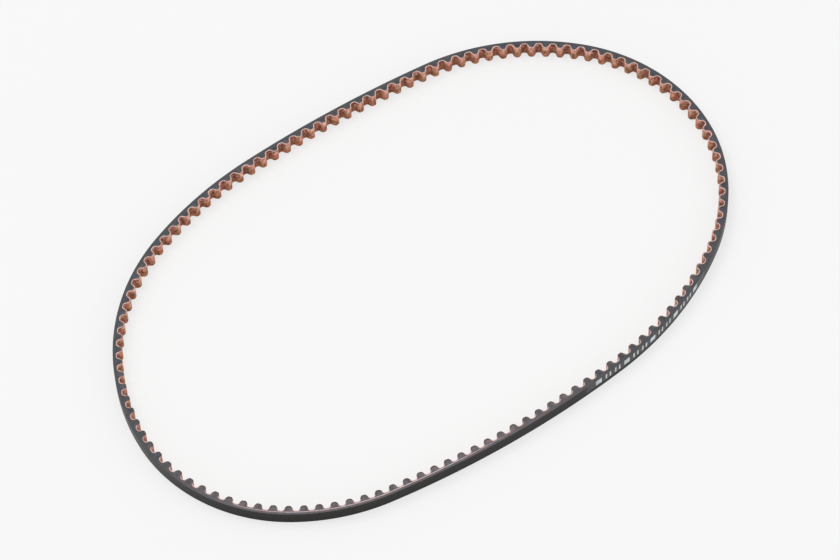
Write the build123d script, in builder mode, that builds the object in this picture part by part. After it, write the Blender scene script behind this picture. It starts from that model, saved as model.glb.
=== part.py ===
from build123d import *
import math
import os

import numpy as np

# An endless moulded timing belt with curvilinear teeth on its inside. It stands on one cut
# edge as a free, slightly uneven oval. Lengths are millimetres and angles are degrees.
# +X runs along the oval, +Z up across the belt's width. The origin is the middle of the
# oval's box, on the lower cut edge.

# Driving dimensions of the belt
TOOTH_PITCH = 3.0
TOOTH_COUNT = 120
BELT_WIDTH = 3.0
BACK_THICKNESS = 0.80  # from the land between two teeth to the back
PITCH_LINE_DEPTH = 0.30  # from the land up to the centre of the cord
FABRIC_THICKNESS = 0.17
CORD_DIAMETER = 0.16
CORD_WALL = 0.02  # rubber between the cord and the tooth rubber
CORD_LEAD = 1.0  # climb of the cord in one trip round the loop
CORD_START_HEIGHT = 0.245  # of the cord's centre, at the start of the first bend

# Driving dimensions of a tooth, on the outside of its fabric
TOOTH_HEIGHT = 1.11
TOOTH_ROOT_WIDTH = 1.80
FLANK_RADIUS = 1.40
ROOT_FILLET = 0.50
TIP_RADIUS = 0.44

# The oval's pitch line: bends that follow each other tangentially, counter-clockwise.
# Each is (radius, angle). The bends in CLOSING_BENDS get the radius that closes the loop.
START_HEADING = 28.3
FIRST_TOOTH = -0.3  # arc length of a tooth's middle, from the start of the first bend
BENDS = [
    (40.0, 27.4),
    (36.0, 71.9),
    (46.5, 41.1),
    (265.0, 9.4),
    (82.0, 18.0),
    (44.7, 64.0),
    (34.0, 59.0),
    (43.7, 26.6),
    (205.0, 15.0),
    (71.2, 27.6),
]
CLOSING_BENDS = [1, 3, 8]

# Printed mark on the back: a row of plain blocks and pairs of ticks, with no lettering
MARK_START = 319.0  # arc length where the row starts
MARK_CELLS = 13
MARK_CELL_LENGTH = 2.45
MARK_BLOCK_LENGTH = 1.5
MARK_TICK_LENGTH = 0.45
MARK_BOTTOM = 1.3  # the row is nearer the upper edge
MARK_HEIGHT = 1.5
MARK_THICKNESS = 0.02

PITCH_LENGTH = TOOTH_PITCH * TOOTH_COUNT
BACK_DEPTH = PITCH_LINE_DEPTH - BACK_THICKNESS  # depths count inward from the pitch line
RUBBER_DEPTH = CORD_DIAMETER / 2 + CORD_WALL  # where the back cover meets the tooth rubber


def closed_radii():
    """The bends' radii, with three of them solved for closure and for the pitch length."""
    angles = np.radians([angle for _, angle in BENDS])
    headings = np.concatenate([[0.0], np.cumsum(angles)])
    chords = (np.exp(1j * headings[1:]) - np.exp(1j * headings[:-1])) / 1j
    radii = np.array([radius for radius, _ in BENDS])
    radii[CLOSING_BENDS] = 0.0
    open_end = np.sum(radii * chords)
    open_length = np.sum(radii * angles)
    rows = [chords.real[CLOSING_BENDS], chords.imag[CLOSING_BENDS], angles[CLOSING_BENDS]]
    wanted = [-open_end.real, -open_end.imag, PITCH_LENGTH - open_length]
    radii[CLOSING_BENDS] = np.linalg.solve(rows, wanted)
    return [float(radius) for radius in radii]


def heading_vector(heading):
    """Unit vector of a heading in degrees from +X."""
    return Vector(math.cos(math.radians(heading)), math.sin(math.radians(heading)))


def outward_vector(heading):
    """Unit vector to the right of a heading, which is the outside of the loop."""
    return heading_vector(heading - 90)


def lay_out_bends(start):
    """One entry per bend: arc length where it starts, centre, radius, heading, angle."""
    bends = []
    place = start
    heading = START_HEADING
    travelled = 0.0
    for radius, (_, angle) in zip(closed_radii(), BENDS):
        centre = place - outward_vector(heading) * radius
        bends.append((travelled, centre, radius, heading, angle))
        heading += angle
        place = centre + outward_vector(heading) * radius
        travelled += radius * math.radians(angle)
    return bends


def on_loop(distance, depth):
    """The point at an arc length of the pitch line, a depth inside it."""
    distance = distance % PITCH_LENGTH
    bend = [bend for bend in loop_bends if bend[0] <= distance][-1]
    travelled, centre, radius, heading, _ = bend
    turned = math.degrees((distance - travelled) / radius)
    return centre + outward_vector(heading + turned) * (radius - depth)


def draw_smooth_loop(depth):
    """Arcs of the loop at a depth inside the pitch line, in the current BuildLine."""
    for _, centre, radius, heading, angle in loop_bends:
        CenterArc(centre, radius - depth, heading - 90, angle)


# The loop is laid out once from the origin, and then moved by its back's own box.
loop_bends = lay_out_bends(Vector(0, 0))
with BuildLine() as provisional_back:
    draw_smooth_loop(BACK_DEPTH)
loop_bends = lay_out_bends(-provisional_back.line.bounding_box().center())


def tooth_profile(inset):
    """Half a tooth from its land to its tip, as arcs of three (along, height) points.

    The height counts from the land. The inset moves the profile into the belt, to the
    rubber under the fabric."""
    flank_centre = TOOTH_ROOT_WIDTH / 2 - FLANK_RADIUS
    flank = FLANK_RADIUS - inset
    fillet = ROOT_FILLET + inset
    tip = TIP_RADIUS - inset
    tip_height = TOOTH_HEIGHT - TIP_RADIUS
    fillet_along = flank_centre + math.sqrt((FLANK_RADIUS + ROOT_FILLET) ** 2 - ROOT_FILLET**2)
    tip_along = flank_centre + math.sqrt((FLANK_RADIUS - TIP_RADIUS) ** 2 - tip_height**2)
    fillet_angle = math.atan2(ROOT_FILLET, fillet_along - flank_centre)
    tip_angle = math.atan2(tip_height, tip_along - flank_centre)

    def arc(along, height, radius, first, last):
        turns = [first, (first + last) / 2, last]
        return [(along + radius * math.cos(a), height + radius * math.sin(a)) for a in turns]

    return [
        arc(fillet_along, ROOT_FILLET, fillet, -math.pi / 2, fillet_angle - math.pi),
        arc(flank_centre, 0, flank, fillet_angle, tip_angle),
        arc(tip_along, tip_height, tip, tip_angle, math.pi / 2),
    ]


def draw_toothed_loop(inset):
    """Outline of the teeth and lands, an inset inside the belt, in the current BuildLine."""
    outline = []
    half = tooth_profile(inset)
    rising = [[(-along, height) for along, height in arc] for arc in half]
    falling = [arc[::-1] for arc in half[::-1]]
    land_end = half[0][0][0]
    for tooth in range(TOOTH_COUNT):
        middle = FIRST_TOOTH + tooth * TOOTH_PITCH

        def place(along, height):
            return on_loop(middle + along, PITCH_LINE_DEPTH + height)

        land_middle = TOOTH_PITCH / 2
        land = [(land_end, -inset), (land_middle, -inset), (TOOTH_PITCH - land_end, -inset)]
        for arc in rising + falling + [land]:
            outline.append(Edge.make_three_point_arc(*[place(*point) for point in arc]))
        outline.append(Edge.make_line(place(*rising[-1][-1]), place(*falling[0][0])))
    add(outline)


def mark_bars():
    """Arc lengths where each printed bar starts and ends: a block, then two pairs of ticks."""
    bars = []
    for cell in range(MARK_CELLS):
        start = MARK_START + cell * MARK_CELL_LENGTH
        end = start + MARK_BLOCK_LENGTH
        if cell % 3 == 0:
            bars.append((start, end))
        else:
            bars.append((start, start + MARK_TICK_LENGTH))
            bars.append((end - MARK_TICK_LENGTH, end))
    return bars


# Tensile cord: one helix of constant lead along the pitch line, ending just inside each edge
with BuildPart() as tensile_cord:
    with BuildLine() as winding:
        height = CORD_START_HEIGHT
        turns = []
        while height < BELT_WIDTH - CORD_DIAMETER - CORD_LEAD / len(BENDS):
            _, centre, radius, heading, angle = loop_bends[len(turns) % len(BENDS)]
            climb = CORD_LEAD * radius * math.radians(angle) / PITCH_LENGTH
            turn = Edge.make_helix(climb * 360 / angle, climb, radius)
            turn = turn.rotate(Axis.Z, heading - 90)
            turns.append(turn.translate(centre + Vector(0, 0, height)))
            height += climb
        add(turns)
    with BuildSketch(Plane(origin=winding.line @ 0, z_dir=winding.line % 0)):
        Circle(CORD_DIAMETER / 2)
    sweep(path=winding.wire())

# Back cover: the rubber band that carries the cord and forms the back
with BuildPart() as back_cover:
    with BuildSketch():
        with BuildLine():
            draw_smooth_loop(BACK_DEPTH)
        make_face()
        with BuildLine():
            draw_smooth_loop(RUBBER_DEPTH)
        make_face(mode=Mode.SUBTRACT)
    extrude(amount=BELT_WIDTH)
    add(tensile_cord.part, mode=Mode.SUBTRACT)

# Tooth rubber: the moulded teeth, joined by the thin layer under the lands
with BuildPart() as tooth_rubber:
    with BuildSketch():
        with BuildLine():
            draw_smooth_loop(RUBBER_DEPTH)
        make_face()
        with BuildLine():
            draw_toothed_loop(FABRIC_THICKNESS)
        make_face(mode=Mode.SUBTRACT)
    extrude(amount=BELT_WIDTH)

# Tooth fabric: the woven facing that follows every tooth and land
with BuildPart() as tooth_fabric:
    with BuildSketch():
        with BuildLine():
            draw_toothed_loop(FABRIC_THICKNESS)
        make_face()
        with BuildLine():
            draw_toothed_loop(0)
        make_face(mode=Mode.SUBTRACT)
    extrude(amount=BELT_WIDTH)

# Printed mark: a thin layer of ink standing on the back
with BuildPart() as printed_mark:
    with BuildSketch(Plane.XY.offset(MARK_BOTTOM)):
        for start, end in mark_bars():
            middle = (start + end) / 2
            ink_face = BACK_DEPTH - MARK_THICKNESS
            inner = [on_loop(distance, BACK_DEPTH) for distance in (start, middle, end)]
            outer = [on_loop(distance, ink_face) for distance in (end, middle, start)]
            with BuildLine():
                ThreePointArc(*inner)
                Line(inner[-1], outer[0])
                ThreePointArc(*outer)
                Line(outer[-1], inner[0])
            make_face()
    extrude(amount=MARK_HEIGHT)

back_cover.part.label = "back_cover"
tooth_rubber.part.label = "tooth_rubber"
tooth_fabric.part.label = "tooth_fabric"
tensile_cord.part.label = "tensile_cord"
printed_mark.part.label = "printed_mark"

os.makedirs("parts", exist_ok=True)
export_step(back_cover.part, "parts/back_cover.step")
export_step(tooth_rubber.part, "parts/tooth_rubber.step")
export_step(tooth_fabric.part, "parts/tooth_fabric.step")
export_step(tensile_cord.part, "parts/tensile_cord.step")
export_step(printed_mark.part, "parts/printed_mark.step")

print("bend radii", [round(radius, 2) for radius in closed_radii()])
print("cord length", round(tensile_cord.part.volume / (math.pi * CORD_DIAMETER**2 / 4), 1))
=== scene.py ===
import math

import bmesh
import bpy
import numpy as np
from mathutils import Matrix, Vector


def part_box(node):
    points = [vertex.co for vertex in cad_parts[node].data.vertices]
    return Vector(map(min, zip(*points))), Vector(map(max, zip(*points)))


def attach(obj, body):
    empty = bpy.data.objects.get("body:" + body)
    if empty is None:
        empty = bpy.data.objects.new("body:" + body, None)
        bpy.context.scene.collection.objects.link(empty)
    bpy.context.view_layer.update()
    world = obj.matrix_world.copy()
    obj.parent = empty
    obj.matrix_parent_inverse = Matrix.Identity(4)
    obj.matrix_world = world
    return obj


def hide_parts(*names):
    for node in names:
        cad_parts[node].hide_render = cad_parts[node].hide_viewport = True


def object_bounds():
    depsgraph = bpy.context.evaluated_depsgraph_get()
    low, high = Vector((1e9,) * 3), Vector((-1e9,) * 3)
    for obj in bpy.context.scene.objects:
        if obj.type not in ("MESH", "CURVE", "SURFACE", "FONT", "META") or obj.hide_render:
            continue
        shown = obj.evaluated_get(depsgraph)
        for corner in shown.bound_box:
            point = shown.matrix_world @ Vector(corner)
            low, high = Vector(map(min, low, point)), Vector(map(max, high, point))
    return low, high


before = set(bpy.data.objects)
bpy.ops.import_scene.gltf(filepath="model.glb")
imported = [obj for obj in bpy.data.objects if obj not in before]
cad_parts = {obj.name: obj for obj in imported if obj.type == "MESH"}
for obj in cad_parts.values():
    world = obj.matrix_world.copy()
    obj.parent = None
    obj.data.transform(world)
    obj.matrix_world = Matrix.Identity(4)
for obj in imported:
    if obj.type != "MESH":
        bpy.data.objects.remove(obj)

# The look of an endless timing belt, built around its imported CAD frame. Lengths are metres
# and angles are degrees. A place on the belt is an arc length round the pitch line, a depth
# inside that line and a height above the lower cut edge. Plan positions are complex numbers.

MM = 0.001
cad_low, cad_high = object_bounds()
back_low, back_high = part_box("back_cover")

# Driving dimensions, the same as the CAD part's
BELT_WIDTH = back_high.z - back_low.z
TOOTH_PITCH = 3.0 * MM
TOOTH_COUNT = 120
BACK_THICKNESS = 0.80 * MM
PITCH_LINE_DEPTH = 0.30 * MM
FABRIC_THICKNESS = 0.17 * MM
CORD_RADIUS = 0.08 * MM
CORD_LEAD = 1.0 * MM
CORD_START_HEIGHT = 0.245 * MM
CORD_WALL = 0.02 * MM
TOOTH_HEIGHT = 1.11 * MM
TOOTH_ROOT_WIDTH = 1.80 * MM
FLANK_RADIUS = 1.40 * MM
ROOT_FILLET = 0.50 * MM
TIP_RADIUS = 0.44 * MM
FIRST_TOOTH = -0.3 * MM

# The pitch line's tangent bends: (radius in mm, angle). The radii of those in CLOSING_BENDS are
# nominal: they are solved again, so that the loop closes on its pitch length.
START_HEADING = 28.3
BENDS = [
    (40.0, 27.4),
    (36.0, 71.9),
    (46.5, 41.1),
    (265.0, 9.4),
    (82.0, 18.0),
    (44.7, 64.0),
    (34.0, 59.0),
    (43.7, 26.6),
    (205.0, 15.0),
    (71.2, 27.6),
]
CLOSING_BENDS = [1, 3, 8]

# Printed mark
MARK_START = 319.0 * MM
MARK_CELLS = 13
MARK_CELL_LENGTH = 2.45 * MM
MARK_BLOCK_LENGTH = 1.5 * MM
MARK_TICK_LENGTH = 0.45 * MM
MARK_BOTTOM = 1.3 * MM
MARK_HEIGHT = 1.5 * MM
MARK_THICKNESS = 0.02 * MM

# Camera: where it looks, from which side and from how far
CAMERA_AZIMUTH = -38.13
CAMERA_ELEVATION = 55.52
CAMERA_ROLL = -2.35
CAMERA_DISTANCE = 809.8 * MM
CAMERA_TARGET = Vector((-1.265 * MM, -0.792 * MM, 0))
CAMERA_LENS = 173.73  # focal length in mm
SENSOR_WIDTH = 36.0  # mm

# Surface finish: where it changes round the loop
PRINT_PATCH_LENGTH = 35 * MM  # greyer stretch of the back under the mark: a painted sheen
PALE_MIDDLE = 272 * MM  # middle of the stretch where the cut rubber is paler and the back's corner has a painted highlight

# Relief that the CAD leaves out
EDGE_ROUND = 0.04 * MM  # rounding of the back's corners
EDGE_WAVE = 0.010 * MM  # a cut edge dips by up to twice this
GRINDING_DEPTH = 0.004 * MM
CORD_BED = 0.02 * MM  # how far the cut edge is sunk where the cord is bare
FABRIC_WAVE = 0.35  # unevenness of the fabric's depth, as a share of its thickness
FABRIC_THINNEST = 0.6  # its least depth, as a share of its thickness
TIP_SPREAD = 0.6  # how much deeper it is at a tooth's tip, as a share of its thickness
PUCKER = 0.022 * MM
PUCKER_LIMIT = 0.05 * MM
FUZZ = 0.02 * MM  # unevenness of the fabric's cut edge
CORD_TWIST = 2.4 * MM  # length in which the cord's strands turn once
STRAND_GROOVE = 0.14  # depth of the grooves between strands, as a share of the cord's radius
MARK_BLEED = 0.05 * MM  # unevenness of the ink's outline
YARNS_PER_MM = 4.0

# Mesh density
STATION = 0.5 * MM  # spacing of the back cover's sections round the loop
BACK_ROWS = 14  # rows up the ground back
FACING_ROWS = 31  # rows up the facing
CORD_STATION = 0.4 * MM
CORD_SIDES = 18
INK_STATION = 0.1 * MM
INK_ROWS = 15

CUT_EDGE, FACE = 0, 1  # material slots

PITCH_LENGTH = TOOTH_PITCH * TOOTH_COUNT
BACK_DEPTH = PITCH_LINE_DEPTH - BACK_THICKNESS
RUBBER_DEPTH = CORD_RADIUS + CORD_WALL
random = np.random.default_rng(7)


# ---------------------------------------------------------------- the loop


def lay_out_bends():
    """Arrays of each bend's starting arc length, centre, radius and starting heading."""
    angles = np.radians([angle for _, angle in BENDS])
    turned = np.concatenate([[0.0], np.cumsum(angles)]) + math.radians(START_HEADING)
    chords = (np.exp(1j * turned[1:]) - np.exp(1j * turned[:-1])) / 1j
    radii = np.array([radius * MM for radius, _ in BENDS])
    radii[CLOSING_BENDS] = 0.0
    open_end = np.sum(radii * chords)
    open_length = np.sum(radii * angles)
    rows = [chords.real[CLOSING_BENDS], chords.imag[CLOSING_BENDS], angles[CLOSING_BENDS]]
    wanted = [-open_end.real, -open_end.imag, PITCH_LENGTH - open_length]
    radii[CLOSING_BENDS] = np.linalg.solve(rows, wanted)
    places = np.concatenate([[0.0], np.cumsum(radii * chords)[:-1]])
    centres = places + 1j * np.exp(1j * turned[:-1]) * radii
    starts = np.concatenate([[0.0], np.cumsum(radii * angles)[:-1]])
    return starts, centres, radii, turned[:-1]


BEND_STARTS, BEND_CENTRES, BEND_RADII, BEND_HEADINGS = lay_out_bends()


def on_loop(distance, depth):
    """Plan positions at arc lengths of the pitch line, depths inside it."""
    distance = np.asarray(distance) % PITCH_LENGTH
    bend = np.searchsorted(BEND_STARTS, distance, side="right") - 1
    heading = BEND_HEADINGS[bend] + (distance - BEND_STARTS[bend]) / BEND_RADII[bend]
    outward = np.exp(1j * heading) / 1j
    return BEND_CENTRES[bend] + outward * (BEND_RADII[bend] - depth)


def box_middle():
    """Middle of the back outline's box, before the loop is moved to the CAD's place."""
    outline = on_loop(np.linspace(0, PITCH_LENGTH, 20000, endpoint=False), BACK_DEPTH)
    across = (outline.real.max() + outline.real.min()) / 2
    along = (outline.imag.max() + outline.imag.min()) / 2
    return across + 1j * along


cad_middle = complex(back_low.x + back_high.x, back_low.y + back_high.y) / 2
BEND_CENTRES = BEND_CENTRES + cad_middle - box_middle()


def belt_points(distance, depth, height):
    """Points in space, from arrays that broadcast together."""
    plan = on_loop(distance, depth)
    plan, height = np.broadcast_arrays(plan, height)
    return np.stack([plan.real, plan.imag, height], axis=-1)


# ---------------------------------------------------------------- tooth profile


def tooth_profile(inset):
    """One pitch from land middle to land middle: arrays of along and height from the land."""
    flank_centre = TOOTH_ROOT_WIDTH / 2 - FLANK_RADIUS
    tip_height = TOOTH_HEIGHT - TIP_RADIUS
    fillet_reach = math.sqrt((FLANK_RADIUS + ROOT_FILLET) ** 2 - ROOT_FILLET**2)
    tip_reach = math.sqrt((FLANK_RADIUS - TIP_RADIUS) ** 2 - tip_height**2)
    fillet_along = flank_centre + fillet_reach
    tip_along = flank_centre + tip_reach
    fillet_angle = math.atan2(ROOT_FILLET, fillet_reach)
    tip_angle = math.atan2(tip_height, tip_reach)

    def line(first, last, count):
        return np.linspace(first, last, count, endpoint=False)

    def arc(along, height, radius, first, last, count):
        turn = np.linspace(first, last, count, endpoint=False)
        return np.stack([along + radius * np.cos(turn), height + radius * np.sin(turn)], -1)

    half = np.concatenate([
        line((TOOTH_PITCH / 2, -inset), (fillet_along, -inset), 4),
        arc(fillet_along, ROOT_FILLET, ROOT_FILLET + inset, -math.pi / 2,
            fillet_angle - math.pi, 6),
        arc(flank_centre, 0, FLANK_RADIUS - inset, fillet_angle, tip_angle, 8),
        arc(tip_along, tip_height, TIP_RADIUS - inset, tip_angle, math.pi / 2, 7),
        line((tip_along, TOOTH_HEIGHT - inset), (0, TOOTH_HEIGHT - inset), 3),
    ])
    tip = np.array([[0, TOOTH_HEIGHT - inset]])
    rising = half * [-1, 1]
    return np.concatenate([rising, tip, half[:0:-1]])


def toothed_line(inset):
    """Arc lengths and depths of the whole toothed outline, an inset inside the belt."""
    profile = tooth_profile(inset)
    middles = FIRST_TOOTH + TOOTH_PITCH * np.arange(TOOTH_COUNT)
    along = (middles[:, None] + profile[None, :, 0]).ravel()
    depth = np.tile(PITCH_LINE_DEPTH + profile[:, 1], TOOTH_COUNT)
    return along, depth


def fabric_inside():
    """Arc lengths and depths of the line where the fabric meets the rubber: uneven, clear of
    the back cover in the lands, and deeper towards the tooth tips."""
    outer_along, outer_depth = toothed_line(0)
    inner_along, inner_depth = toothed_line(FABRIC_THICKNESS)
    travelled = running_length(belt_points(outer_along, outer_depth, 0.0))[:-1]
    share = 1 + ripple(travelled, 0.0, (0.5 * MM, 0.9 * MM, 2.2 * MM), FABRIC_WAVE)
    thickest = 0.9 * (PITCH_LINE_DEPTH - RUBBER_DEPTH) / FABRIC_THICKNESS
    share = np.clip(share, FABRIC_THINNEST, thickest)
    share = share + TIP_SPREAD * (outer_depth - PITCH_LINE_DEPTH) / TOOTH_HEIGHT
    along = outer_along + (inner_along - outer_along) * share
    return along, outer_depth + (inner_depth - outer_depth) * share


# ---------------------------------------------------------------- mesh helpers


def new_object(name, mesh, materials):
    """An object for a mesh, with its materials, in the scene."""
    for material in materials:
        mesh.materials.append(material)
    piece = bpy.data.objects.new(name, mesh)
    bpy.context.scene.collection.objects.link(piece)
    return piece


def ring_mesh(name, points, along, across, row_materials, sharp_angle=35, rise=None):
    """A closed skin over points[column, row]: columns go round the loop, rows round the
    section. Along and across are the UV's values in metres, one longer than the points, and
    the UV itself is in millimetres.
    Rise is each column's height on its tooth, from 0 on the land to 1 at the tip."""
    columns, rows = points.shape[:2]
    corner = np.arange(columns * rows).reshape(columns, rows)
    ahead = np.roll(corner, -1, axis=0)
    quads = np.stack([corner, ahead, np.roll(ahead, -1, axis=1), np.roll(corner, -1, axis=1)], -1)
    mesh = bpy.data.meshes.new(name)
    mesh.from_pydata(points.reshape(-1, 3).tolist(), [], quads.reshape(-1, 4).tolist())
    u = np.stack([along[:-1], along[1:], along[1:], along[:-1]], -1) / MM
    v = np.stack([across[:-1], across[:-1], across[1:], across[1:]], -1) / MM
    grid = np.broadcast_arrays(u[:, None, :], v[None, :, :])
    layer = mesh.uv_layers.new(name="belt")
    layer.data.foreach_set("uv", np.stack(grid, -1).astype(np.float32).ravel())
    mesh.polygons.foreach_set("material_index", np.tile(row_materials, columns).astype(np.int32))
    mesh.polygons.foreach_set("use_smooth", np.ones(columns * rows, bool))
    mesh.set_sharp_from_angle(angle=math.radians(sharp_angle))
    if rise is not None:
        layer = mesh.attributes.new("tooth_rise", "FLOAT", "POINT")
        layer.data.foreach_set("value", np.repeat(rise, rows).astype(np.float32))
    mesh.update()
    return mesh


def running_length(points):
    """Distance travelled along a closed line of points, with the full length at the end."""
    steps = np.linalg.norm(np.roll(points, -1, axis=0) - points, axis=-1)
    return np.concatenate([[0.0], np.cumsum(steps)])


def ripple(along, across, wavelengths, amplitude):
    """Smooth irregular relief from sine waves in both directions, the same every run."""
    relief = 0.0
    for wavelength in wavelengths:
        for _ in range(4):
            turn = random.uniform(0, 2 * math.pi)
            phase = random.uniform(0, 2 * math.pi)
            whole = max(1, round(PITCH_LENGTH * abs(math.cos(turn)) / wavelength))
            wave = 2 * math.pi * whole * along / PITCH_LENGTH
            wave = wave + 2 * math.pi * math.sin(turn) * across / wavelength + phase
            relief = relief + np.sin(wave) * wavelength / max(wavelengths)
    return relief * amplitude / (2 * len(wavelengths))


# ---------------------------------------------------------------- materials


class Nodes:
    """Short calls for building one material's node tree."""

    def __init__(self, name):
        self.material = bpy.data.materials.new(name)
        self.material.use_nodes = True
        self.tree = self.material.node_tree
        self.shader = self.tree.nodes["Principled BSDF"]

    def new(self, kind, **settings):
        node = self.tree.nodes.new(kind)
        for key, value in settings.items():
            setattr(node, key, value)
        return node

    def link(self, source, target):
        self.tree.links.new(source, target)

    def belt_uv(self, along_scale, across_scale):
        """The belt's own millimetre grid, scaled each way."""
        uv = self.new("ShaderNodeUVMap", uv_map="belt")
        mapping = self.new("ShaderNodeMapping")
        mapping.inputs["Scale"].default_value = (along_scale, across_scale, 1)
        self.link(uv.outputs["UV"], mapping.inputs["Vector"])
        return mapping.outputs["Vector"]

    def noise(self, vector, scale, detail=3.0, roughness=0.5):
        node = self.new("ShaderNodeTexNoise")
        node.inputs["Scale"].default_value = scale
        node.inputs["Detail"].default_value = detail
        node.inputs["Roughness"].default_value = roughness
        self.link(vector, node.inputs["Vector"])
        return node.outputs["Fac"]

    def ramp(self, factor, stops):
        node = self.new("ShaderNodeValToRGB")
        elements = node.color_ramp.elements
        while len(elements) < len(stops):
            elements.new(0.5)
        for element, (place, colour) in zip(elements, stops):
            element.position = place
            element.color = (*colour, 1)
        self.link(factor, node.inputs["Fac"])
        return node.outputs["Color"]

    def mix(self, factor, first, second, blend="MIX"):
        node = self.new("ShaderNodeMix", data_type="RGBA", blend_type=blend)
        wired = {0: factor, 6: first, 7: second}
        for place, value in wired.items():
            socket = node.inputs[place]
            if isinstance(value, bpy.types.NodeSocket):
                self.link(value, socket)
            else:
                socket.default_value = value
        return node.outputs[2]

    def maths(self, operation, first, second=None):
        node = self.new("ShaderNodeMath", operation=operation)
        for value, socket in ((first, node.inputs[0]), (second, node.inputs[1])):
            if isinstance(value, bpy.types.NodeSocket):
                self.link(value, socket)
            elif value is not None:
                socket.default_value = value
        return node.outputs[0]

    def remap(self, value, low, high):
        node = self.new("ShaderNodeMapRange")
        node.inputs["To Min"].default_value = low
        node.inputs["To Max"].default_value = high
        self.link(value, node.inputs["Value"])
        return node.outputs["Result"]

    def near(self, value, middle, half, fade):
        """1 where a value is within half of a middle, falling to 0 over the fade."""
        away = self.maths("ABSOLUTE", self.maths("SUBTRACT", value, middle))
        node = self.new("ShaderNodeMapRange", interpolation_type="SMOOTHSTEP")
        node.inputs["From Min"].default_value = half + fade
        node.inputs["From Max"].default_value = half
        self.link(away, node.inputs["Value"])
        return node.outputs["Result"]

    def height_on_belt(self):
        """Height above the lower cut edge in millimetres."""
        place = self.new("ShaderNodeTexCoord")
        return self.maths("DIVIDE", self.split(place.outputs["Object"])[2], MM)

    def split(self, vector):
        """The X, Y and Z of a vector."""
        node = self.new("ShaderNodeSeparateXYZ")
        self.link(vector, node.inputs[0])
        return node.outputs[0], node.outputs[1], node.outputs[2]

    def bump(self, height, strength, distance, under=None):
        node = self.new("ShaderNodeBump")
        node.inputs["Strength"].default_value = strength
        node.inputs["Distance"].default_value = distance
        self.link(height, node.inputs["Height"])
        if under is not None:
            self.link(under, node.inputs["Normal"])
        return node.outputs["Normal"]


def back_rubber_material():
    """Near-black rubber with fine cross grinding: greyer under the mark with a painted sheen, darker
    at the foot with painted shade, and paler along the upper corner of one stretch with a painted
    highlight."""
    m = Nodes("ground_back_rubber")
    uv = m.belt_uv(1, 1)
    along, _, _ = m.split(uv)
    height = m.height_on_belt()
    patches = m.noise(uv, 0.6, 4.0)
    grinding = m.noise(m.belt_uv(14, 0.9), 1.0, 4.0, 0.65)
    specks = m.noise(uv, 22.0, 2.0)
    mark_middle = (MARK_START + MARK_CELLS * MARK_CELL_LENGTH / 2) / MM
    mark_level = (MARK_BOTTOM + MARK_HEIGHT / 2) / MM
    # Painted sheen: a greyer patch under the mark, for the gloss of the print's film.
    printed = m.maths("MULTIPLY",
                      m.near(along, mark_middle, PRINT_PATCH_LENGTH / 2 / MM, 1.4),
                      m.near(height, mark_level, 0.55 * MARK_HEIGHT / MM, 0.4))
    colour = m.ramp(patches, [(0.35, (0.0050, 0.0042, 0.0036)), (0.65, (0.0100, 0.0088, 0.0080))])
    flecks = m.ramp(specks, [(0.66, (0, 0, 0)), (0.80, (0.012, 0.011, 0.011))])
    colour = m.mix(1.0, colour, flecks, "ADD")
    # Painted shade: darker and warmer towards the foot, standing in for the reflected contact shadow.
    painted_foot_shade = m.near(height, 0.0, 0.4, 1.6)
    colour = m.mix(painted_foot_shade, colour, m.mix(1.0, colour, (0.45, 0.42, 0.36, 1), "MULTIPLY"))
    grey = m.ramp(grinding, [(0.4, (0.036, 0.037, 0.039)), (0.6, (0.070, 0.071, 0.075))])
    colour = m.mix(printed, colour, grey)
    # Painted highlight: the back's upper corner is paler along one stretch of the loop.
    corner = m.maths("MULTIPLY",
                     m.near(height, BELT_WIDTH / MM, 0.12, 0.10),
                     m.near(along, PALE_MIDDLE / MM, 36.0, 20.0))
    m.link(m.mix(corner, colour, (0.095, 0.088, 0.092, 1)), m.shader.inputs["Base Color"])
    m.link(m.remap(grinding, 0.30, 0.48), m.shader.inputs["Roughness"])
    m.shader.inputs["Specular IOR Level"].default_value = 0.17
    relief = m.bump(grinding, 0.25, 0.02 * MM)
    m.link(m.bump(specks, 0.2, 0.01 * MM, relief), m.shader.inputs["Normal"])
    return m.material


def cut_rubber_material():
    """Grey cut rubber, streaked along the cut, dotted with pale specks, and paler on one
    stretch of the loop."""
    m = Nodes("cut_edge_rubber")
    uv = m.belt_uv(1, 1)
    along, _, _ = m.split(uv)
    streaks = m.noise(m.belt_uv(0.7, 16), 1.0, 4.0, 0.6)
    grain = m.noise(uv, 9.0, 3.0, 0.6)
    patches = m.noise(uv, 0.45, 3.0)
    colour = m.ramp(streaks, [(0.35, (0.032, 0.033, 0.038)), (0.65, (0.078, 0.078, 0.087))])
    tint = m.ramp(patches, [(0.38, (0.80, 1.02, 1.10)), (0.50, (1, 1, 1)), (0.62, (1.18, 0.97, 0.97))])
    colour = m.mix(1.0, colour, tint, "MULTIPLY")
    pale = m.near(along, PALE_MIDDLE / MM, 30.0, 25.0)
    colour = m.mix(pale, colour, m.mix(1.0, colour, (1.95, 1.70, 1.64, 1), "MULTIPLY"))
    specks = m.ramp(grain, [(0.56, (0, 0, 0)), (0.74, (0.06, 0.058, 0.060))])
    m.link(m.mix(1.0, colour, specks, "ADD"), m.shader.inputs["Base Color"])
    m.link(m.remap(grain, 0.50, 0.80), m.shader.inputs["Roughness"])
    m.shader.inputs["Specular IOR Level"].default_value = 0.35
    relief = m.bump(streaks, 0.30, 0.02 * MM)
    m.link(m.bump(grain, 0.35, 0.015 * MM, relief), m.shader.inputs["Normal"])
    return m.material


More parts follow.
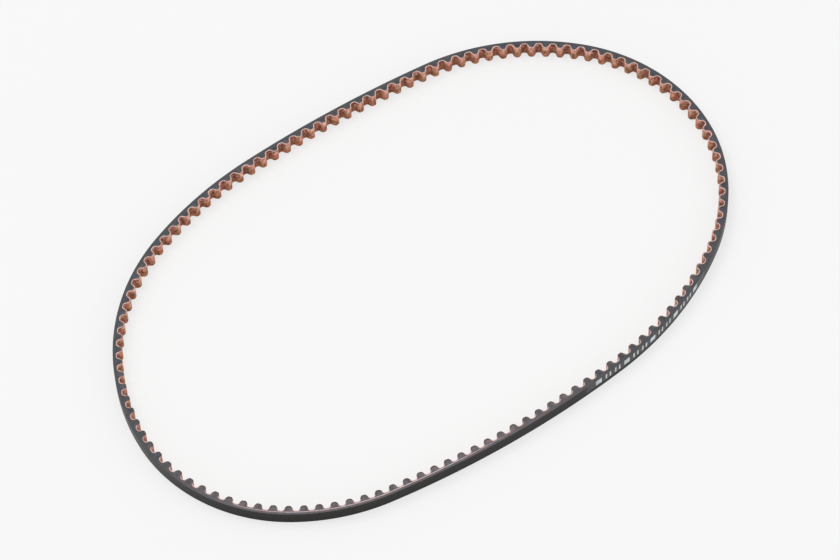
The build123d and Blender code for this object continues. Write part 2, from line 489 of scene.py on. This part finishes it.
def weave_height(m, along_yarns, across_yarns):
    """Height of a plain weave: yarns per millimetre along the belt and across it."""
    u, v, _ = m.split(m.belt_uv(1, 1))
    along = m.maths("MULTIPLY", u, math.pi * along_yarns)
    across = m.maths("MULTIPLY", v, math.pi * across_yarns)
    warp = m.maths("ABSOLUTE", m.maths("SINE", along))
    weft = m.maths("ABSOLUTE", m.maths("SINE", across))
    crossing = m.maths("MULTIPLY", m.maths("SINE", along), m.maths("SINE", across))
    over = m.maths("MULTIPLY", m.maths("ADD", m.maths("SIGN", crossing), 1.0), 0.5)
    under = m.maths("SUBTRACT", 1.0, over)
    return m.maths("ADD", m.maths("MULTIPLY", warp, over), m.maths("MULTIPLY", weft, under))


def fabric_material():
    """Orange-brown woven facing: painted shade in the lands and low on the belt, painted shade in
    places high in the lands near its upper edge, tips paler from wear and a painted highlight, and
    frayed pale along both cut edges."""
    m = Nodes("woven_tooth_fabric")
    uv = m.belt_uv(1, 1)
    weave = weave_height(m, YARNS_PER_MM, YARNS_PER_MM)
    mottle = m.noise(uv, 1.0, 4.0, 0.65)
    blotches = m.noise(m.belt_uv(1.5, 0.7), 1.0, 2.0, 0.6)
    yarns = m.noise(m.belt_uv(5.0, 1.6), 1.0, 3.0, 0.7)
    fibres = m.noise(m.belt_uv(12, 4), 1.0, 3.0, 0.6)
    height = m.height_on_belt()
    rise = m.new("ShaderNodeAttribute", attribute_name="tooth_rise").outputs["Fac"]
    # Painted shade darkens the lands between the teeth; the paler tips are partly wear and partly a
    # painted highlight.
    land = m.ramp(mottle, [(0.38, (0.300, 0.095, 0.040)), (0.62, (0.470, 0.200, 0.125))])
    tip = m.ramp(mottle, [(0.38, (0.400, 0.160, 0.082)), (0.62, (0.600, 0.290, 0.190))])
    colour = m.mix(rise, land, tip)
    shade = m.ramp(blotches, [(0.36, (0.46, 0.38, 0.34)), (0.50, (0.95, 0.95, 0.95)),
                              (0.64, (1.22, 1.24, 1.26))])
    colour = m.mix(1.0, colour, shade, "MULTIPLY")
    streak = m.ramp(yarns, [(0.34, (0.70, 0.65, 0.62)), (0.50, (1, 1, 1)),
                            (0.66, (1.20, 1.22, 1.24))])
    colour = m.mix(1.0, colour, streak, "MULTIPLY")
    zones = m.noise(uv, 0.33, 2.0)
    warmth = m.ramp(zones, [(0.40, (1.04, 0.88, 0.90)), (0.50, (1, 1, 1)),
                            (0.60, (0.96, 1.02, 0.90))])
    colour = m.mix(1.0, colour, warmth, "MULTIPLY")
    # Darker low on the belt, a painted shadow near the floor, and paler and bluer towards the top.
    level = m.maths("DIVIDE", height, BELT_WIDTH / MM)
    height_ramp_floor_shade = m.ramp(level, [(0.25, (0.76, 0.68, 0.58)), (0.45, (0.86, 0.80, 0.76)),
                            (0.58, (1.10, 1.13, 1.24)), (0.75, (1.36, 1.50, 1.85))])
    colour = m.mix(1.0, colour, height_ramp_floor_shade, "MULTIPLY")
    # Painted shade in places high in the lands, just under the upper cut edge.
    painted_valley_shade = m.maths("MULTIPLY", m.near(height, 2.35, 0.35, 0.9), m.near(mottle, 0.40, 0.08, 0.08))
    painted_valley_shade = m.maths("MULTIPLY", painted_valley_shade, m.maths("SUBTRACT", 1.0, rise))
    colour = m.mix(painted_valley_shade, colour, m.mix(1.0, colour, (0.45, 0.36, 0.32, 1), "MULTIPLY"))
    gaps = m.ramp(weave, [(0.0, (0.45, 0.40, 0.38)), (0.7, (1.12, 1.12, 1.12))])
    colour = m.mix(0.8, colour, gaps, "MULTIPLY")
    fleck = m.ramp(fibres, [(0.56, (0, 0, 0)), (0.70, (0.10, 0.065, 0.050))])
    colour = m.mix(1.0, colour, fleck, "ADD")
    middle = BELT_WIDTH / 2 / MM
    reach = m.maths("ADD", m.maths("ABSOLUTE", m.maths("SUBTRACT", height, middle)),
                    m.maths("MULTIPLY", yarns, 0.20))
    frayed = m.maths("SUBTRACT", 1.0, m.near(reach, 0.0, middle - 0.03, 0.10))
    m.link(m.mix(frayed, colour, (0.62, 0.45, 0.40, 1)), m.shader.inputs["Base Color"])
    m.link(m.remap(mottle, 0.88, 0.70), m.shader.inputs["Roughness"])
    m.shader.inputs["Specular IOR Level"].default_value = 0.3
    m.shader.inputs["Sheen Weight"].default_value = 0.15
    m.shader.inputs["Sheen Roughness"].default_value = 0.5
    m.shader.inputs["Sheen Tint"].default_value = (1.0, 0.70, 0.52, 1)
    relief = m.bump(weave, 0.7, 0.03 * MM)
    m.link(m.bump(fibres, 0.3, 0.01 * MM, relief), m.shader.inputs["Normal"])
    return m.material


def fabric_edge_material(stretch):
    """Cut edge of the facing: pale pink yarn ends, browner at the tooth tips, and dark on the
    teeth of one part of the loop. Stretch is how much longer the facing is than the pitch line."""
    m = Nodes("fabric_cut_edge")
    uv = m.belt_uv(1, 1)
    ends = m.noise(uv, 3.5, 4.0, 0.65)
    mottle = m.noise(uv, 0.5, 2.0)
    colour = m.ramp(ends, [(0.36, (0.38, 0.25, 0.22)), (0.62, (0.80, 0.61, 0.56))])
    tint = m.ramp(mottle, [(0.40, (0.86, 0.84, 0.92)), (0.60, (1.06, 0.98, 0.90))])
    colour = m.mix(1.0, colour, tint, "MULTIPLY")
    travelled, _, _ = m.split(uv)
    along = m.maths("DIVIDE", travelled, stretch)
    rise = m.new("ShaderNodeAttribute", attribute_name="tooth_rise").outputs["Fac"]
    browner = m.ramp(rise, [(0.3, (1, 1, 1)), (1.0, (0.86, 0.74, 0.68))])
    colour = m.mix(1.0, colour, browner, "MULTIPLY")
    way_round = m.maths("DIVIDE", along, PITCH_LENGTH / MM)
    dark_part = m.ramp(way_round, [(0.50, (0, 0, 0)), (0.63, (1, 1, 1)), (0.84, (1, 1, 1)),
                                   (0.90, (0.65, 0.65, 0.65)), (0.97, (0.6, 0.6, 0.6)),
                                   (1.0, (0, 0, 0))])
    dark = m.ramp(m.maths("MULTIPLY", dark_part, rise),
                  [(0.08, (1, 1, 1)), (0.5, (0.19, 0.22, 0.24))])
    m.link(m.mix(1.0, colour, dark, "MULTIPLY"), m.shader.inputs["Base Color"])
    m.shader.inputs["Roughness"].default_value = 0.9
    m.shader.inputs["Specular IOR Level"].default_value = 0.2
    m.link(m.bump(ends, 0.5, 0.02 * MM), m.shader.inputs["Normal"])
    return m.material


def cord_material():
    """Tensile cord: pale pink filaments, darker between them."""
    m = Nodes("glass_cord")
    filaments = m.noise(m.belt_uv(1.2, 24), 1.0, 3.0, 0.6)
    blotches = m.noise(m.belt_uv(1, 1), 0.8, 2.0)
    colour = m.ramp(filaments, [(0.25, (0.42, 0.31, 0.33)), (0.6, (0.78, 0.62, 0.65))])
    shade = m.ramp(blotches, [(0.3, (0.72, 0.70, 0.72)), (0.7, (1.05, 1.0, 1.0))])
    m.link(m.mix(1.0, colour, shade, "MULTIPLY"), m.shader.inputs["Base Color"])
    m.shader.inputs["Roughness"].default_value = 0.6
    m.link(m.bump(filaments, 0.5, 0.01 * MM), m.shader.inputs["Normal"])
    return m.material


def ink_material():
    """Pale printing ink, worn dark in places."""
    m = Nodes("printed_ink")
    rub = m.noise(m.belt_uv(2.2, 5.0), 1.0, 5.0, 0.7)
    tone = m.noise(m.belt_uv(1, 1), 1.1, 2.0)
    colour = m.ramp(tone, [(0.3, (0.42, 0.46, 0.48)), (0.7, (0.66, 0.70, 0.72))])
    worn = m.ramp(rub, [(0.30, (0.07, 0.07, 0.075)), (0.46, (1, 1, 1))])
    m.link(m.mix(1.0, colour, worn, "MULTIPLY"), m.shader.inputs["Base Color"])
    m.link(m.remap(rub, 0.75, 0.50), m.shader.inputs["Roughness"])
    m.link(m.bump(rub, 0.3, 0.01 * MM), m.shader.inputs["Normal"])
    return m.material


def floor_material():
    """Grey floor that glows white, so that the belt's shadow stays pale."""
    m = Nodes("studio_floor")
    place = m.new("ShaderNodeTexCoord")
    grain = m.noise(place.outputs["Object"], 6.0, 2.0)
    colour = m.ramp(grain, [(0.3, (0.214, 0.214, 0.214)), (0.7, (0.222, 0.222, 0.222))])
    m.link(colour, m.shader.inputs["Base Color"])
    m.shader.inputs["Roughness"].default_value = 0.9
    m.shader.inputs["Specular IOR Level"].default_value = 0.1
    m.shader.inputs["Emission Color"].default_value = (1.0, 1.0, 1.0, 1)
    m.shader.inputs["Emission Strength"].default_value = 0.684
    return m.material


# ---------------------------------------------------------------- pieces


def stations():
    """Arc lengths of the back cover's sections, evenly round the loop."""
    count = round(PITCH_LENGTH / STATION)
    return np.arange(count) * PITCH_LENGTH / count


def cut_height(along, depth, top):
    """Height of a cut edge: nearly flat, and never outside the belt."""
    wave = ripple(along, depth, (2.5 * MM, 7 * MM, 40 * MM), EDGE_WAVE / 2)
    dip = np.clip(wave, -EDGE_WAVE, EDGE_WAVE) + EDGE_WAVE
    return BELT_WIDTH - dip if top else dip


def make_back_cover(materials):
    """The band that carries the cord: ground back, rounded corners and cut edges."""
    along = stations()[:, None]
    turn = np.radians([0, 30, 60, 90])
    round_in = EDGE_ROUND * (1 - np.cos(turn))
    round_up = EDGE_ROUND * np.sin(turn)
    wall = np.linspace(EDGE_ROUND, BELT_WIDTH - EDGE_ROUND, BACK_ROWS)
    top_depths = np.concatenate([
        BACK_DEPTH + round_in[1:],
        np.linspace(BACK_DEPTH + 2 * EDGE_ROUND, -1.3 * CORD_RADIUS, 4),
        np.linspace(-CORD_RADIUS, CORD_RADIUS, 5),
        [RUBBER_DEPTH],
    ])
    top_drop = np.zeros_like(top_depths)
    top_drop[:3] = EDGE_ROUND - round_up[1:]
    inner = np.linspace(BELT_WIDTH, 0, 5)[1:-1]
    depth = np.concatenate([
        np.full(len(wall), BACK_DEPTH), top_depths, np.full(len(inner), RUBBER_DEPTH),
        top_depths[::-1],
    ])[None, :]
    top = cut_height(along, top_depths[None, :], True) - top_drop
    low = cut_height(along, top_depths[None, :], False) + top_drop
    bed = CORD_BED * np.exp(-((top_depths / CORD_RADIUS) ** 4))
    top = top - bed * exposure(along, BELT_WIDTH)
    low = low + bed * exposure(along, 0.0)
    count = len(along)
    height = np.concatenate([
        np.tile(wall, (count, 1)), top, np.tile(inner, (count, 1)), low[:, ::-1],
    ], axis=1)
    across = running_length(np.stack([depth[0], height[0]], -1))
    ground = ripple(along, across[None, :-1], (1.6 * MM, 5 * MM), GRINDING_DEPTH)
    depth = depth + np.where(depth <= BACK_DEPTH, np.abs(ground), 0)
    points = belt_points(along, depth, height)
    edges = len(top_depths)
    rows = [FACE] * (len(wall) + 1) + [CUT_EDGE] * (edges - 2) + [FACE] * (len(inner) + 1)
    rows += [CUT_EDGE] * (edges - 1)
    rows += [FACE] * (depth.shape[1] - len(rows))
    run = np.append(along[:, 0], PITCH_LENGTH)
    mesh = ring_mesh("back_cover_rubber", points, run, across, rows)
    return new_object("back_cover_rubber", mesh, materials)


def cord_height(distance):
    """Height of the cord's centre, on its helix, at a distance from the helix's start."""
    return CORD_START_HEIGHT + CORD_LEAD * distance / PITCH_LENGTH


def exposure(along, cut):
    """1 where the cord is cut open by an edge at this height, fading to 0 beyond."""
    crossing = (cut - CORD_START_HEIGHT) / CORD_LEAD * PITCH_LENGTH
    away = np.abs((along - crossing + PITCH_LENGTH / 2) % PITCH_LENGTH - PITCH_LENGTH / 2)
    half = CORD_RADIUS / CORD_LEAD * PITCH_LENGTH
    return np.clip((half * 1.1 - away) / (0.1 * half), 0, 1)


def make_tooth_rubber(interface, materials):
    """The moulded teeth and the layer under the lands, between the cord and the fabric."""
    along, depth = interface
    fractions = np.linspace(0, 1, 7)
    top_along = np.repeat(along[:, None], len(fractions), axis=1)
    top_depth = RUBBER_DEPTH + (depth[:, None] - RUBBER_DEPTH) * fractions
    top = cut_height(top_along, top_depth, True)
    low = cut_height(top_along, top_depth, False)
    walls = np.linspace(BELT_WIDTH, 0, 8)[1:-1]
    count = len(along)
    tip_walls = np.repeat(depth[:, None], len(walls), axis=1)
    base_walls = np.full((count, len(walls)), RUBBER_DEPTH)
    row_depth = np.concatenate([top_depth, tip_walls, top_depth[:, ::-1], base_walls], axis=1)
    row_height = np.concatenate([
        top, np.tile(walls, (count, 1)), low[:, ::-1], np.tile(walls[::-1], (count, 1)),
    ], axis=1)
    points = belt_points(along[:, None], row_depth, row_height)
    across = running_length(np.stack([row_depth[0], row_height[0]], -1))
    run = np.append(along, along[0] + PITCH_LENGTH)
    rows = [CUT_EDGE] * points.shape[1]
    mesh = ring_mesh("tooth_rubber_body", points, run, across, rows)
    return new_object("tooth_rubber_body", mesh, materials)


def make_tooth_fabric(interface, materials):
    """The facing: a puckered skin over teeth and lands, with fuzzy cut edges."""
    outer_along, outer_depth = toothed_line(0)
    inner_along, inner_depth = interface
    face = belt_points(outer_along, outer_depth, 0.0)
    run = running_length(face)
    heights = np.linspace(0, BELT_WIDTH, FACING_ROWS)
    travelled = run[:-1, None]
    pucker = ripple(travelled, heights[None, :], (0.45 * MM, 0.8 * MM), PUCKER)
    pucker = np.clip(np.abs(pucker), 0, PUCKER_LIMIT)
    steps = np.array([0.0, 0.35, 0.7, 1.0])
    fuzz = np.abs(ripple(travelled, steps[None, 1:-1], (0.3 * MM, 0.6 * MM), FUZZ))
    count = len(outer_along)
    inner_rows = np.tile(np.linspace(0, BELT_WIDTH, 4)[1:-1], (count, 1))
    share = pucker / FABRIC_THICKNESS
    face_along = outer_along[:, None] * (1 - share) + inner_along[:, None] * share
    face_depth = outer_depth[:, None] * (1 - share) + inner_depth[:, None] * share
    edge_along = outer_along[:, None] * steps + inner_along[:, None] * (1 - steps)
    edge_depth = outer_depth[:, None] * steps + inner_depth[:, None] * (1 - steps)
    top = np.full((count, len(steps)), BELT_WIDTH)
    top[:, 1:-1] -= fuzz
    low = np.zeros((count, len(steps)))
    low[:, 1:-1] += fuzz
    row_along = np.concatenate([
        np.tile(inner_along[:, None], (1, 2)), edge_along[:, :-1], face_along[:, ::-1],
        edge_along[:, ::-1][:, 1:],
    ], axis=1)
    row_depth = np.concatenate([
        np.tile(inner_depth[:, None], (1, 2)), edge_depth[:, :-1], face_depth[:, ::-1],
        edge_depth[:, ::-1][:, 1:],
    ], axis=1)
    row_height = np.concatenate([
        inner_rows, top[:, :-1], np.tile(heights[::-1], (count, 1)), low[:, ::-1][:, 1:],
    ], axis=1)
    points = belt_points(row_along, row_depth, row_height)
    across = running_length(np.stack([row_depth[0], row_height[0]], -1))
    edge = len(steps) - 1
    rows = [FACE] * 2 + [CUT_EDGE] * edge + [FACE] * (len(heights) - 1) + [CUT_EDGE] * edge
    rows += [FACE] * (points.shape[1] - len(rows))
    rise = (outer_depth - PITCH_LINE_DEPTH) / TOOTH_HEIGHT
    mesh = ring_mesh("tooth_fabric_facing", points, run, across, rows, 50, rise)
    return new_object("tooth_fabric_facing", mesh, materials)


def make_cord(materials):
    """One helix of three twisted strands, which runs out of both edges and is cut flush."""
    reach = CORD_RADIUS * 1.05
    first = (-reach - CORD_START_HEIGHT) / CORD_LEAD * PITCH_LENGTH
    last = (BELT_WIDTH + reach - CORD_START_HEIGHT) / CORD_LEAD * PITCH_LENGTH
    distance = np.arange(first, last, CORD_STATION)[:, None]
    turn = np.linspace(0, 2 * math.pi, CORD_SIDES, endpoint=False)[None, :]
    twist = 2 * math.pi * distance / CORD_TWIST
    lobes = np.abs(np.cos(1.5 * (turn - twist)))
    radius = CORD_RADIUS * (1 - STRAND_GROOVE + STRAND_GROOVE * lobes)
    depth = radius * np.cos(turn)
    height = cord_height(distance) + radius * np.sin(turn)
    points = belt_points(np.broadcast_to(distance, depth.shape), depth, height)
    columns, rows = points.shape[:2]
    corner = np.arange(columns * rows).reshape(columns, rows)
    behind, ahead = corner[:-1], corner[1:]
    quads = np.stack([behind, np.roll(behind, -1, 1), np.roll(ahead, -1, 1), ahead], -1)
    mesh = bpy.data.meshes.new("tensile_cord_strand")
    mesh.from_pydata(points.reshape(-1, 3).tolist(), [], quads.reshape(-1, 4).tolist())
    layer = mesh.uv_layers.new(name="belt")
    run = (distance[:, 0] - first) / MM
    girth = np.append(turn[0], 2 * math.pi) * CORD_RADIUS / MM
    u = np.stack([run[:-1], run[:-1], run[1:], run[1:]], -1)
    v = np.stack([girth[:-1], girth[1:], girth[1:], girth[:-1]], -1)
    grid = np.broadcast_arrays(u[:, None, :], v[None, :, :])
    layer.data.foreach_set("uv", np.stack(grid, -1).astype(np.float32).ravel())
    shape = bmesh.new()
    shape.from_mesh(mesh)
    for height_of_cut, side in ((BELT_WIDTH, 1), (0.0, -1)):
        everything = shape.verts[:] + shape.edges[:] + shape.faces[:]
        cut = bmesh.ops.bisect_plane(
            shape, geom=everything, plane_co=(0, 0, height_of_cut), plane_no=(0, 0, side),
            clear_outer=True, dist=1e-9,
        )
        rim = [part for part in cut["geom_cut"] if isinstance(part, bmesh.types.BMEdge)]
        bmesh.ops.holes_fill(shape, edges=rim, sides=0)
    bmesh.ops.recalc_face_normals(shape, faces=shape.faces)
    for face in shape.faces:
        face.smooth = True
    shape.to_mesh(mesh)
    shape.free()
    mesh.set_sharp_from_angle(angle=math.radians(40))
    return new_object("tensile_cord_strand", mesh, materials)


def mark_bars():
    """Arc lengths where each printed bar starts and ends: a block, then two pairs of ticks."""
    bars = []
    for cell in range(MARK_CELLS):
        start = MARK_START + cell * MARK_CELL_LENGTH
        end = start + MARK_BLOCK_LENGTH
        if cell % 3 == 0:
            bars.append((start, end))
        else:
            bars.append((start, start + MARK_TICK_LENGTH))
            bars.append((end - MARK_TICK_LENGTH, end))
    return bars


def make_mark(materials):
    """The printed bars: thin slabs of ink on the back, with uneven outlines."""
    shape = bmesh.new()
    layer = shape.loops.layers.uv.new("belt")
    for start, end in mark_bars():
        columns = max(5, round((end - start) / INK_STATION))
        share = np.linspace(0, 1, columns)[:, None]
        rise = np.linspace(0, 1, INK_ROWS)[None, :]
        bleed_in = random.uniform(0, MARK_BLEED, (2, INK_ROWS))
        bleed_up = random.uniform(0, MARK_BLEED, (2, columns))
        left = start + bleed_in[0]
        right = end - bleed_in[1]
        along = left[None, :] * (1 - share) + right[None, :] * share
        low = MARK_BOTTOM + bleed_up[0][:, None]
        high = MARK_BOTTOM + MARK_HEIGHT - bleed_up[1][:, None]
        height = low * (1 - rise) + high * rise
        rim = (share == 0) | (share == 1) | (rise == 0) | (rise == 1)
        depth = BACK_DEPTH - np.where(rim, 0.3, 0.9) * MARK_THICKNESS
        outside = belt_points(along, depth, height)
        inside = belt_points(along, BACK_DEPTH + 0.5 * MARK_THICKNESS, height)
        add_slab(shape, layer, outside, inside, along, height)
    mesh = bpy.data.meshes.new("printed_mark_ink")
    shape.to_mesh(mesh)
    shape.free()
    return new_object("printed_mark_ink", mesh, materials)


def add_slab(shape, layer, outside, inside, along, height):
    """A closed slab between two grids of points, outside and inside, with its UV."""
    columns, rows = along.shape
    front = [[shape.verts.new(outside[c, r]) for r in range(rows)] for c in range(columns)]
    back = [[shape.verts.new(inside[c, r]) for r in range(rows)] for c in range(columns)]
    places = {}
    for c in range(columns):
        for r in range(rows):
            place = (along[c, r] / MM, height[c, r] / MM)
            places[front[c][r]] = place
            places[back[c][r]] = place

    def face(*corners):
        made = shape.faces.new(corners)
        made.smooth = True
        for loop in made.loops:
            loop[layer].uv = places[loop.vert]

    for c in range(columns - 1):
        for r in range(rows - 1):
            face(front[c][r], front[c + 1][r], front[c + 1][r + 1], front[c][r + 1])
            face(back[c][r], back[c][r + 1], back[c + 1][r + 1], back[c + 1][r])
    for c in range(columns - 1):
        face(back[c][0], back[c + 1][0], front[c + 1][0], front[c][0])
        face(front[c][-1], front[c + 1][-1], back[c + 1][-1], back[c][-1])
    for r in range(rows - 1):
        face(front[0][r], front[0][r + 1], back[0][r + 1], back[0][r])
        face(back[-1][r], back[-1][r + 1], front[-1][r + 1], front[-1][r])


# ---------------------------------------------------------------- stage, lights, camera


def make_floor():
    """A wide floor at the height the belt stands on."""
    shape = bmesh.new()
    bmesh.ops.create_grid(shape, x_segments=8, y_segments=8, size=3.0)
    mesh = bpy.data.meshes.new("studio_floor")
    shape.to_mesh(mesh)
    shape.free()
    floor = new_object("studio_floor", mesh, [floor_material()])
    floor.location.z = cad_low.z


def make_area_light(name, place, size, power, colour):
    """A square soft light that looks at the middle of the belt."""
    light = bpy.data.lights.new(name, "AREA")
    light.shape = "SQUARE"
    light.size = size
    light.energy = power
    light.color = colour
    lamp = bpy.data.objects.new(name, light)
    lamp.location = place
    lamp.rotation_euler = (-place).to_track_quat("-Z", "Y").to_euler()
    bpy.context.scene.collection.objects.link(lamp)


def view_axes():
    """The camera's right, up and back directions before its roll, and its level forward."""
    azimuth = math.radians(CAMERA_AZIMUTH)
    elevation = math.radians(CAMERA_ELEVATION)
    forward = Vector((-math.sin(azimuth), math.cos(azimuth), 0))
    right = Vector((math.cos(azimuth), math.sin(azimuth), 0))
    back = -forward * math.cos(elevation) + Vector((0, 0, math.sin(elevation)))
    return right, back.cross(right), back, forward


def make_camera():
    """The photograph's viewpoint."""
    right, up, back, _ = view_axes()
    roll = math.radians(CAMERA_ROLL)
    rolled_right = right * math.cos(roll) + up * math.sin(roll)
    rolled_up = up * math.cos(roll) - right * math.sin(roll)
    data = bpy.data.cameras.new("camera")
    data.sensor_width = SENSOR_WIDTH
    data.lens = CAMERA_LENS
    data.clip_start = 0.01
    data.clip_end = 20
    camera = bpy.data.objects.new("camera", data)
    axes = Matrix((rolled_right, rolled_up, back)).transposed().to_4x4()
    camera.matrix_world = Matrix.Translation(CAMERA_TARGET + back * CAMERA_DISTANCE) @ axes
    bpy.context.scene.collection.objects.link(camera)
    bpy.context.scene.camera = camera


def make_lights():
    """An even white surround, a broad key from the upper left and a low fill from the right."""
    world = bpy.data.worlds.new("studio")
    world.use_nodes = True
    world.node_tree.nodes["Background"].inputs["Color"].default_value = (1.0, 1.0, 0.995, 1)
    world.node_tree.nodes["Background"].inputs["Strength"].default_value = 0.78
    bpy.context.scene.world = world
    right, _, _, forward = view_axes()
    key = -right * 0.5 + forward * 0.35 + Vector((0, 0, 1.1))
    make_area_light("key_light", key, size=0.8, power=6.5, colour=(1.0, 0.99, 0.975))
    fill = right * 0.9 - forward * 0.25 + Vector((0, 0, 0.35))
    make_area_light("fill_light", fill, size=0.5, power=1.5, colour=(0.95, 0.98, 1.0))
    bpy.context.scene.view_settings.view_transform = "Standard"


# ---------------------------------------------------------------- assembly

cut_rubber = cut_rubber_material()
fabric_line = fabric_inside()
facing_stretch = running_length(belt_points(*toothed_line(0), 0.0))[-1] / PITCH_LENGTH
PIECES = [
    (make_back_cover([cut_rubber, back_rubber_material()]), "back_cover", "back_rubber"),
    (make_tooth_rubber(fabric_line, [cut_rubber]), "tooth_rubber", "tooth_rubber"),
    (
        make_tooth_fabric(fabric_line, [fabric_edge_material(facing_stretch), fabric_material()]),
        "tooth_fabric", "tooth_fabric",
    ),
    (make_cord([cord_material()]), "tensile_cord", "cord"),
    (make_mark([ink_material()]), "printed_mark", "mark_ink"),
]
for piece, node, slot in PIECES:
    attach(piece, "root")
    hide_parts(node)

make_floor()
make_lights()
make_camera()
